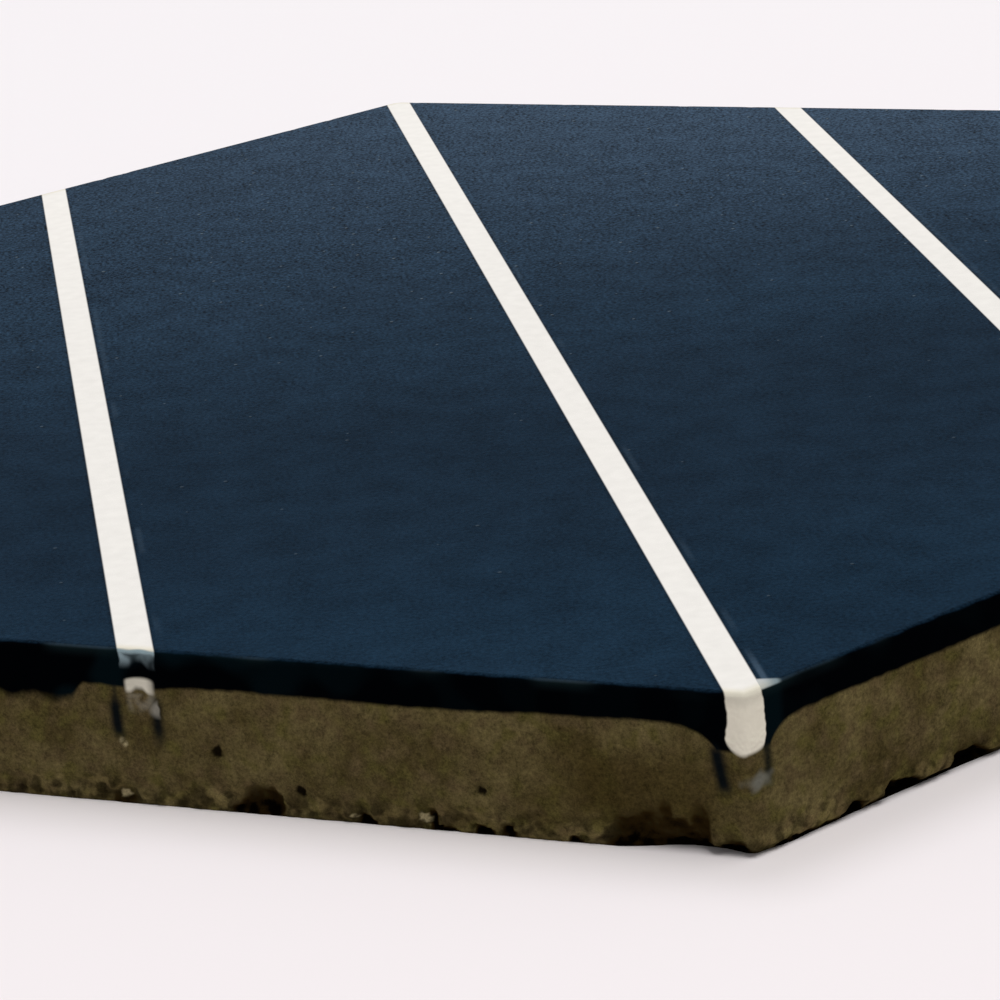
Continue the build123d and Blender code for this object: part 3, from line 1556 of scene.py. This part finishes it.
@dataclass(frozen=True)
class NavyLayer:
    """The pigmented face layer: clouded and pinholed on the face with painted sheen and shade, near black
    on the sides.
    """

    stripe_half: float
    depth: float = 3.3
    face_deep: Colour = (0.0062, 0.0180, 0.0342)
    face_pale: Colour = (0.0078, 0.0218, 0.0408)
    face_dull: Colour = (0.0070, 0.0160, 0.0292)
    # The colour of a painted sheen that the face takes towards the far corner.
    face_sheen: Colour = (0.0345, 0.0590, 0.0935)
    face_wash: Colour = (0.075, 0.120, 0.175)
    glint: Colour = (0.150, 0.190, 0.220)
    side_black: Colour = (0.0004, 0.0007, 0.0012)
    side_blue: Colour = (0.0012, 0.0042, 0.0056)
    side_worn: Colour = (0.0060, 0.0125, 0.0140)
    edge_rubbed: Colour = (0.0300, 0.0460, 0.0580)
    low_soft: float = 0.25
    low_bends: Cloud = Cloud(28.0, 12.0, reach=0.25)
    low_waves: Cloud = Cloud(5.0, 13.0, reach=0.07)
    low_nicks: Cloud = Cloud(1.2, 14.0, reach=0.05)
    sag: Span = (0.3, 2.2)
    sag_beside: float = -0.2
    sag_half: float = 2.3
    sag_falls_off: float = 0.85
    thick_x: Span = (-54.9, -56.3)
    thick_y: Span = (0.0, -50.0)
    thicker: float = 1.75
    thick_soft: float = 0.35
    thick_nicks: float = 2.0
    scallop: float = 0.22
    scallop_x: float = -61.45
    scallop_turn: float = 1.7
    clouds: Cloud = Cloud(30.0, 51.0, detail=1.0, edge=(0.3, 0.7))
    dull: float = 0.5
    dull_y: Around = (-45.0, 50.0, 15.0)
    sheen_y: Span = (-45.0, 158.0)
    sheen_tilt: float = 0.0065
    sheen_tilt_y: Span = (-10.0, 55.0)
    afar_y: Span = (-50.0, 60.0)
    lift: float = 0.12
    lift_x: Span = (20.0, -80.0)
    lift_y: Span = (-30.0, -95.0)
    slow: float = 0.45
    slow_grain: Cloud = Cloud(4.5, 58.0)
    fine: Span = (0.25, 0.6)
    fine_grain: Cloud = Cloud(1.3, 52.0)
    finest: Span = (1.3, 4.0)
    finest_grain: Cloud = Cloud(0.45, 53.0, detail=1.0, rough=0.8)
    hem: float = 0.3
    hem_width: float = 0.5
    rim: float = 0.4
    rim_run: Span = (-0.85, -0.45)
    wash_line: Band = (0.3, 0.6, 0.8, 1.2)
    wash_faint: float = 0.12
    washes: Cloud = Cloud(9.0, 54.0, edge=(0.5, 0.66))
    wash_near: float = 0.5
    wash_near_y: Span = (-104.0, -111.0)
    pinholes: Scatter = Scatter(4.5, 55.0, radius=0.30, flat=True)
    pinhole_share: Span = (0.07, 0.36)
    pinhole_shade: Span = (0.3, 0.8)
    glints: Scatter = Scatter(4.5, 55.0, radius=0.28, flat=True)
    glint_bright: Span = (0.2, 0.75)
    glint_step: Place = (0.1, -0.26, 0.0)
    blotches: Cloud = Cloud(4.0, 57.0, edge=(0.5, 0.7))
    bluer: Span = (0.15, 1.0)
    bluer_x: Span = (-12.0, -55.0)
    veil_beside: Around = (2.6, 1.5, 0.4)
    wear: Cloud = Cloud(7.0, 59.0, edge=(0.46, 0.62))
    worn: float = 0.5
    worn_run: Span = (1.2, 0.1)
    rubbed: float = 0.4
    rubbed_run: Band = (-0.6, -0.3, -0.2, 0.2)

    def inside(self, sketch: NodeSketch, spot: Spot) -> Field:
        """Where the layer is; its lower edge is wavy and sags beside a stripe's end.

        Args:
            sketch: The material's sketch.
            spot: The place on the tile.

        Returns:
            1 in the layer and 0 below it.
        """
        from_stripe = sketch.size_of(spot.beside - self.sag_beside)
        past_stripe = sketch.math("MAXIMUM", from_stripe - self.sag_half, 0.0)
        sag = sketch.math("EXPONENT", past_stripe * -self.sag_falls_off) * spot.striped
        thick_end = sketch.ease(spot.x, *self.thick_x) * sketch.ease(spot.y, *self.thick_y)
        scallops = sketch.math("COSINE", (spot.x - self.scallop_x) * self.scallop_turn)
        bottom = (
            self.depth
            + sag * sketch.between(*self.sag, spot.cornered)
            + thick_end * (self.thicker + self.scallop * scallops)
            + sketch.ripple(spot.where, self.low_bends)
            + sketch.ripple(spot.where, self.low_waves)
            + sketch.ripple(spot.where, self.low_nicks) * (1.0 + self.thick_nicks * thick_end)
        )
        soft = self.low_soft + self.thick_soft * thick_end
        return sketch.ease(spot.depth, bottom + soft, bottom - soft)

    def face(self, sketch: NodeSketch, spot: Spot, afar: Field) -> Field:
        """The face's blue, clouded and grainy, with a painted sheen that pales it towards the far corner
        and painted shade along its edge.

        Args:
            sketch: The material's sketch.
            spot: The place on the tile.
            afar: How far back the place is, from 0 to 1.

        Returns:
            The colour.
        """
        where, half = spot.where, self.stripe_half
        face = sketch.blend(self.face_deep, self.face_pale, sketch.patches(where, self.clouds))
        face = sketch.blend(face, self.face_dull, self.dull * sketch.around(spot.y, *self.dull_y))
        # Painted sheen: the face is paler towards the far corner, and more so to the right.
        tilt = 1.0 + self.sheen_tilt * spot.x * sketch.ease(spot.y, *self.sheen_tilt_y)
        face = sketch.blend(face, self.face_sheen, tilt * sketch.ease(spot.y, *self.sheen_y))
        lift = self.lift * sketch.ease(spot.x, *self.lift_x) * sketch.ease(spot.y, *self.lift_y)
        slow = self.slow * (sketch.noise(where, self.slow_grain) - 0.5)
        fine = (sketch.noise(where, self.fine_grain) - 0.5) * sketch.between(*self.fine, afar)
        finest = (sketch.noise(where, self.finest_grain) - 0.5) * sketch.between(*self.finest, afar)
        hem = self.hem * sketch.ease(sketch.size_of(spot.beside), half + self.hem_width, half)
        # Painted shade: the face darkens over the last fraction of a millimetre before its edge.
        rim = self.rim * sketch.ease(spot.run, *self.rim_run)
        return sketch.scaled(face, 1.0 + lift + slow + (fine + finest) - hem - rim)

    def wash(self, sketch: NodeSketch, spot: Spot) -> Field:
        """The faint pale line of slip just beside a stripe, plainest next to the near corner.

        Args:
            sketch: The material's sketch.
            spot: The place on the tile.

        Returns:
            The share of slip, from 0 to 1.
        """
        line = sketch.band(spot.beside, *(self.stripe_half + place for place in self.wash_line))
        faint = self.wash_faint * sketch.patches(spot.where, self.washes)
        near = self.wash_near * sketch.ease(spot.y, *self.wash_near_y)
        return line * spot.striped * sketch.largest(faint, near)

    def pricked(self, sketch: NodeSketch, spot: Spot, afar: Field, face: Field) -> Field:
        """Pricks the face with pinholes of painted shade, each with a glint beside it, a painted
        highlight.

        Args:
            sketch: The material's sketch.
            spot: The place on the tile.
            afar: How far back the place is, from 0 to 1.
            face: The face's colour.

        Returns:
            The pricked colour.
        """
        share = sketch.between(*self.pinhole_share, afar)
        pinholes = sketch.dots(spot.where, self.pinholes, share)
        glints = sketch.dots(sketch.moved(spot.where, self.glint_step), self.glints, share)
        # Painted highlight beside each pinhole, and painted shade in it.
        face = sketch.blend(face, self.glint, sketch.between(*self.glint_bright, afar) * glints)
        return sketch.blend(face, self.side_black, sketch.between(*self.pinhole_shade, afar) * pinholes)

    def colour(self, sketch: NodeSketch, spot: Spot) -> Field:
        """The layer's colour, on the face and down the sides.

        Args:
            sketch: The material's sketch.
            spot: The place on the tile.

        Returns:
            The colour.
        """
        afar = sketch.ease(spot.y, *self.afar_y)
        face = self.face(sketch, spot, afar)
        face = sketch.blend(face, self.face_wash, self.wash(sketch, spot))
        face = self.pricked(sketch, spot, afar, face)
        bluer = sketch.between(*self.bluer, sketch.ease(spot.x, *self.bluer_x))
        blotches = bluer * sketch.patches(spot.where, self.blotches)
        veil = spot.cornered * sketch.around(spot.beside, *self.veil_beside)
        side = sketch.blend(self.side_black, self.side_blue, sketch.largest(blotches, veil))
        wear = sketch.patches(spot.where, self.wear)
        worn = self.worn * wear * sketch.ease(spot.run, *self.worn_run)
        side = sketch.blend(side, self.side_worn, worn)
        rubbed = self.rubbed * wear * sketch.band(spot.run, *self.rubbed_run)
        return sketch.blend(sketch.blend(side, face, spot.on_face), self.edge_rubbed, rubbed)


@dataclass(frozen=True)
class MortarBody:
    """The body of olive sand and cement, dirty and with painted shade where the back edge has crumbled.
    """

    apothem: float
    dark: Colour = (0.056, 0.0425, 0.0155)
    pale: Colour = (0.110, 0.0870, 0.0365)
    green: Colour = (0.078, 0.0665, 0.0200)
    rust: Colour = (0.079, 0.0580, 0.0265)
    stain_brown: Colour = (0.0420, 0.0300, 0.0085)
    dirt_and_shade_brown: Colour = (0.0170, 0.0094, 0.0022)
    # Near black, the painted shade of the hollows and of the deepest bites.
    crevice_shade: Colour = (0.0016, 0.0010, 0.0006)
    pale_grain: Colour = (0.290, 0.245, 0.135)
    clouds: Cloud = Cloud(6.0, 71.0, detail=2.0, rough=0.65, edge=(0.3, 0.7))
    tints: Cloud = Cloud(2.2, 75.0, detail=1.0, rough=0.8)
    tint: float = 0.85
    green_edge: Span = (0.5, 0.72)
    rust_edge: Span = (0.5, 0.28)
    sandy: float = 1.9
    sand: Cloud = Cloud(0.4, 72.0, detail=2.0, rough=1.0)
    lumpy: float = 0.7
    lumps: Cloud = Cloud(1.3, 74.0, detail=1.0)
    foot_waves: Cloud = Cloud(4.0, 73.0, reach=0.6)
    foot_height: Span = (3.6, 0.8)
    foot_shade: Span = (0.5, -0.35)
    foot_lumps: Span = (0.38, 0.64)
    stain: float = 0.75
    stain_side: Side = Side.LEFT
    stain_along: Around = (47.0, 14.0, 3.0)
    stain_height: Around = (6.0, 6.0, 1.0)
    hollow: float = 0.9
    hollow_edge: Span = (0.25, 0.8)
    grit: float = 0.8
    grit_edge: Span = (0.0, 0.4)
    dirt_and_shade_least: float = 0.5
    dirt_and_shade_lumps: Span = (0.25, 0.75)
    soil_and_shade: float = 0.95
    soil_and_shade_edge: Span = (0.0, 0.6)
    black_edge: Span = (0.55, 1.1)
    grain_edge: Span = (0.1, 0.8)

    def kept(self, sketch: NodeSketch, name: str) -> Field:
        """A shade that the carving kept on the mesh, by its attribute's name."""
        attribute = sketch.node("ShaderNodeAttribute", attribute_name=name)
        return Field(sketch, attribute.outputs["Fac"])

    def clean(self, sketch: NodeSketch, where: Field) -> Field:
        """The mortar's own colour, clouded and tinted.

        Args:
            sketch: The material's sketch.
            where: Place in millimetres.

        Returns:
            The colour.
        """
        tints = sketch.noise(where, self.tints)
        base = sketch.blend(self.dark, self.pale, sketch.patches(where, self.clouds))
        base = sketch.blend(base, self.green, self.tint * sketch.ease(tints, *self.green_edge))
        return sketch.blend(base, self.rust, self.tint * sketch.ease(tints, *self.rust_edge))

    def stained(self, sketch: NodeSketch, spot: Spot) -> Field:
        """The brown stain near one end of a side.

        Args:
            sketch: The material's sketch.
            spot: The place on the tile.

        Returns:
            The share of brown, from 0 to 1.
        """
        near, along = sketch.on_side(spot.where, self.stain_side, self.apothem)
        stain = sketch.around(along, *self.stain_along) * near
        return self.stain * (stain * sketch.around(spot.height, *self.stain_height))

    def colour(self, sketch: NodeSketch, spot: Spot) -> Field:
        """The mortar's colour with its sand, stain, painted shade in hollows, dirty bites with painted
        shade, painted shade and highlight on lumps near the foot, and pale grains.

        Args:
            sketch: The material's sketch.
            spot: The place on the tile.

        Returns:
            The colour.
        """
        where = spot.where
        sand = sketch.noise(where, self.sand) - 0.5
        lumps = sketch.noise(where, self.lumps)
        grain = 1.0 + (self.sandy * sand + self.lumpy * (lumps - 0.5))
        # Painted shade and highlight: near the foot the mortar is darker between its lumps and lighter on
        # their tops.
        foot = sketch.ease(spot.height + sketch.ripple(where, self.foot_waves), *self.foot_height)
        knob_shading = foot * sketch.between(*self.foot_shade, sketch.ease(lumps, *self.foot_lumps))
        stain, soil_and_shade, pale = (
            sketch.scaled(tone, grain) for tone in (self.stain_brown, self.dirt_and_shade_brown, self.pale_grain)
        )
        crumbled, dirt_and_shade, grains = (self.kept(sketch, name) for name in (HOLLOW_SHADE, DIRT_AND_SHADE, GRAINS))
        gritty = self.grit * sand * sketch.ease(dirt_and_shade, *self.grit_edge)
        dirt_and_shade = dirt_and_shade * (self.dirt_and_shade_least + sketch.ease(lumps, *self.dirt_and_shade_lumps)) + gritty
        base = sketch.scaled(self.clean(sketch, where), grain * (1.0 - knob_shading))
        base = sketch.blend(base, stain, self.stained(sketch, spot))
        # Painted shade in the crumbled hollows, chips, air holes and pebble creases.
        base = sketch.blend(base, self.crevice_shade, self.hollow * sketch.ease(crumbled, *self.hollow_edge))
        # The bites are painted dirty brown with shade, and near black with shade where they are deepest.
        base = sketch.blend(base, soil_and_shade, self.soil_and_shade * sketch.ease(dirt_and_shade, *self.soil_and_shade_edge))
        base = sketch.blend(base, self.crevice_shade, sketch.ease(dirt_and_shade, *self.black_edge))
        return sketch.blend(base, pale, sketch.ease(grains, *self.grain_edge))


@dataclass(frozen=True)
class CementFinish:
    """The tile's one finish: its navy layer, stripes, runs of pigment and mortar, by place."""

    apothem: float
    thickness: float
    stripes: StripeInlay
    layer: NavyLayer
    runs: PigmentRuns
    mortar: MortarBody
    specular: float = 0.002
    side_rough: float = 0.95
    face_rough: float = 0.42
    stripe_rougher: float = 0.2
    edge_waves: Cloud = Cloud(1.6, 15.0, reach=0.09)
    face_edge: Span = (0.05, -0.4)
    satin: float = 0.008
    satin_grain: Cloud = Cloud(0.7, 82.0)
    satin_depth: Span = (0.35, 0.05)
    sandy: Span = (0.08, 0.24)
    sandy_grain: Cloud = Cloud(0.8, 83.0, detail=1.0, rough=0.8)
    sandy_depth: Span = (3.0, 5.0)

    def material(self) -> bpy.types.Material:
        """Builds the material.

        Returns:
            The tile's one material.
        """
        made = bpy.data.materials.new(TILE_SLOT)
        made.use_nodes = True
        made.node_tree.nodes.clear()
        sketch = NodeSketch(made.node_tree)
        spot = self.spot(sketch)
        mortar, navy = self.mortar.colour(sketch, spot), self.layer.colour(sketch, spot)
        colour = sketch.blend(mortar, navy, self.layer.inside(sketch, spot))
        colour = self.runs.dress(sketch, spot, colour)
        colour, whiteness = self.stripes.dress(sketch, spot, colour)

        shader = sketch.node("ShaderNodeBsdfPrincipled")
        shader.inputs["Specular IOR Level"].default_value = self.specular
        sketch.plug(shader.inputs["Base Color"], colour)
        face_rough = self.face_rough + self.stripe_rougher * whiteness
        sketch.plug(shader.inputs["Roughness"], sketch.between(self.side_rough, face_rough, spot.on_face))
        relief = sketch.node("ShaderNodeBump")
        relief.inputs["Distance"].default_value = MM
        sketch.plug(relief.inputs["Height"], self.relief(sketch, spot))
        made.node_tree.links.new(relief.outputs["Normal"], shader.inputs["Normal"])
        output = sketch.node("ShaderNodeOutputMaterial")
        made.node_tree.links.new(shader.outputs["BSDF"], output.inputs["Surface"])
        return made

    def spot(self, sketch: NodeSketch) -> Spot:
        """Finds where a point of the tile lies among its layers and stripes.

        Args:
            sketch: The material's sketch.

        Returns:
            The place.
        """
        coordinates = sketch.node("ShaderNodeTexCoord").outputs["Object"]
        where = sketch.scaled(Field(sketch, coordinates), 1.0 / MM)
        x, y, height = sketch.split(where)
        depth = self.thickness - height
        run = depth - sketch.inset(where, self.apothem)
        stripes = self.stripes
        axis = sketch.math("ROUND", x / stripes.pitch) * stripes.pitch
        pitches = sketch.size_of(axis) / stripes.pitch
        beside = x - axis
        edge = run + sketch.ripple(where, self.edge_waves)
        return Spot(
            where=where,
            x=x,
            y=y,
            height=height,
            depth=depth,
            run=run,
            beside=beside,
            across=beside / stripes.half,
            striped=sketch.ease(pitches, *stripes.pitches_striped),
            cornered=sketch.ease(pitches, *stripes.pitches_cornered),
            on_face=sketch.ease(edge, *self.face_edge),
        )

    def relief(self, sketch: NodeSketch, spot: Spot) -> Field:
        """The fine relief: satin on the face, sandy on the sides.

        Args:
            sketch: The material's sketch.
            spot: The place on the tile.

        Returns:
            Its height in millimetres.
        """
        satin = self.satin * sketch.noise(spot.where, self.satin_grain)
        rising = sketch.ease(spot.depth, *self.sandy_depth)
        sandy = sketch.noise(spot.where, self.sandy_grain) * sketch.between(*self.sandy, rising)
        return sketch.between(sandy, satin, sketch.ease(spot.depth, *self.satin_depth))


@dataclass
class PressedTile:
    """The whole tile: its blank, its crumbled edge and its finish, as one piece."""

    apothem: float
    thickness: float
    name: str = "pressed_tile"
    pitches_to_side: float = 2.0

    def build(self) -> bpy.types.Object:
        """Makes the tile's mesh and dresses it.

        Returns:
            The tile's object.
        """
        plan = Hexagon(self.apothem)
        blank = TileBlank(plan, self.thickness)
        piece = bpy.data.objects.new(self.name, blank.mesh(BakeSheet(plan)))
        bpy.context.scene.collection.objects.link(piece)
        raw = piece.data
        finish = self.finish().material()
        piece.data = CrumbledEdge().carve(piece, plan, self.thickness, finish)
        piece.data.name = self.name
        bpy.data.meshes.remove(raw)
        return piece

    def finish(self) -> CementFinish:
        """Fits the finish to the tile's size.

        Returns:
            The finish.
        """
        stripes = StripeInlay(pitch=self.apothem / self.pitches_to_side)
        return CementFinish(
            apothem=self.apothem,
            thickness=self.thickness,
            stripes=stripes,
            layer=NavyLayer(stripe_half=stripes.half),
            runs=PigmentRuns(),
            mortar=MortarBody(self.apothem),
        )

    def enlist(self, piece: bpy.types.Object) -> None:
        """Hangs the piece on the tile's body and hides the imported part it stands for.

        Args:
            piece: The tile's object.
        """
        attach(piece, TILE_BODY)
        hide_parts(TILE_NODE)


@dataclass(frozen=True)
class SoftLamp:
    """A square lamp that looks at the tile; its place and size are in metres."""

    name: str
    place: Place
    size: float
    watts: float
    tint: Colour

    def hang(self) -> None:
        """Adds the lamp to the scene."""
        data = bpy.data.lights.new(self.name, "AREA")
        data.shape = "SQUARE"
        data.color = self.tint
        data.size = self.size
        data.energy = self.watts
        lamp = bpy.data.objects.new(self.name, data)
        lamp.location = self.place
        lamp.rotation_euler = (-Vector(self.place)).to_track_quat("-Z", "Y").to_euler()
        bpy.context.scene.collection.objects.link(lamp)


@dataclass(frozen=True)
class Studio:
    """A pale floor, soft light from above, and the camera.

    Lengths are in metres, the lens and sensor in millimetres and the camera's angles in degrees.
    """

    floor_half: float = 6.0
    floor_near: Colour = (0.863, 0.815, 0.831)
    floor_far: Colour = (0.874, 0.842, 0.860)
    floor_fade: Span = (-0.15, 0.25)
    floor_rough: float = 0.9
    floor_specular: float = 0.1
    background: Colour = (0.93, 0.90, 0.90)
    ambient: float = 0.32
    lamps: tuple[SoftLamp, ...] = (
        SoftLamp("softbox", (0.52, -1.10, 3.60), 2.4, 96.0, (1.0, 0.99, 0.965)),
        SoftLamp("back_light", (-0.115, 0.724, 1.861), 0.9, 9.5, (0.94, 0.935, 1.0)),
    )
    camera_place: Place = (-0.05662, -0.40696, 0.13845)
    camera_turn: float = 7.26
    camera_dip: float = 19.29
    camera_roll: float = -4.78
    focal_length: float = 136.2
    sensor_width: float = 36.0
    clip_start: float = 0.02

    def lay_floor(self) -> bpy.types.Object:
        """Lays the floor under the tile.

        Returns:
            The floor's object.
        """
        half = self.floor_half
        mesh = bpy.data.meshes.new("floor")
        corners = [(-half, -half, 0.0), (half, -half, 0.0), (half, half, 0.0), (-half, half, 0.0)]
        mesh.from_pydata(corners, [], [(0, 1, 2, 3)])
        floor = bpy.data.objects.new("floor", mesh)
        bpy.context.scene.collection.objects.link(floor)
        paper = bpy.data.materials.new("floor_paper")
        paper.use_nodes = True
        sketch = NodeSketch(paper.node_tree)
        coordinates = sketch.node("ShaderNodeTexCoord").outputs["Object"]
        _, y, _ = sketch.split(Field(sketch, coordinates))
        shade = sketch.blend(self.floor_near, self.floor_far, sketch.ease(y, *self.floor_fade))
        shader = paper.node_tree.nodes["Principled BSDF"]
        sketch.plug(shader.inputs["Base Color"], shade)
        shader.inputs["Roughness"].default_value = self.floor_rough
        shader.inputs["Specular IOR Level"].default_value = self.floor_specular
        mesh.materials.append(paper)
        return floor

    def light(self) -> None:
        """Hangs the lamps and sets the world's even light and its pale backdrop."""
        for lamp in self.lamps:
            lamp.hang()
        world = bpy.data.worlds.new("studio")
        bpy.context.scene.world = world
        world.use_nodes = True
        sketch = NodeSketch(world.node_tree)
        world.node_tree.nodes.clear()
        rays = sketch.node("ShaderNodeLightPath")
        kinds = ("Is Camera Ray", "Is Glossy Ray", "Is Transmission Ray")
        seen = sketch.largest(*(Field(sketch, rays.outputs[kind]) for kind in kinds))
        even = (self.ambient, self.ambient, self.ambient)
        backdrop = sketch.node("ShaderNodeBackground")
        sketch.plug(backdrop.inputs["Color"], sketch.blend(even, self.background, seen))
        output = sketch.node("ShaderNodeOutputWorld")
        world.node_tree.links.new(backdrop.outputs["Background"], output.inputs["Surface"])

    def set_camera(self) -> bpy.types.Object:
        """Places the camera where the photograph was taken from.

        Returns:
            The camera's object.
        """
        data = bpy.data.cameras.new("camera")
        data.lens = self.focal_length
        data.sensor_width = self.sensor_width
        data.clip_start = self.clip_start
        camera = bpy.data.objects.new("camera", data)
        bpy.context.scene.collection.objects.link(camera)
        turn = Matrix.Rotation(math.radians(-self.camera_turn), 4, "Z")
        tip = Matrix.Rotation(math.radians(90.0 - self.camera_dip), 4, "X")
        roll = Matrix.Rotation(math.radians(self.camera_roll), 4, "Z")
        camera.matrix_world = Matrix.Translation(self.camera_place) @ turn @ tip @ roll
        bpy.context.scene.camera = camera
        return camera


def main() -> None:
    """Builds the tile and its studio, and reports each piece."""
    logging.basicConfig(level=logging.INFO, format="%(name)s: %(message)s")
    bpy.context.scene.view_settings.view_transform = "Standard"
    _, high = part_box(TILE_NODE)
    tile = PressedTile(apothem=high.x / MM, thickness=high.z / MM)
    piece = tile.build()
    tile.enlist(piece)
    triangles = sum(len(face.vertices) - 2 for face in piece.data.polygons)
    LOG.info("%s: %d triangles", piece.name, triangles)
    studio = Studio()
    floor = studio.lay_floor()
    LOG.info("%s laid", floor.name)
    studio.light()
    camera = studio.set_camera()
    LOG.info("%s set at %s", camera.name, tuple(camera.location))


if __name__ == "__main__":
    main()
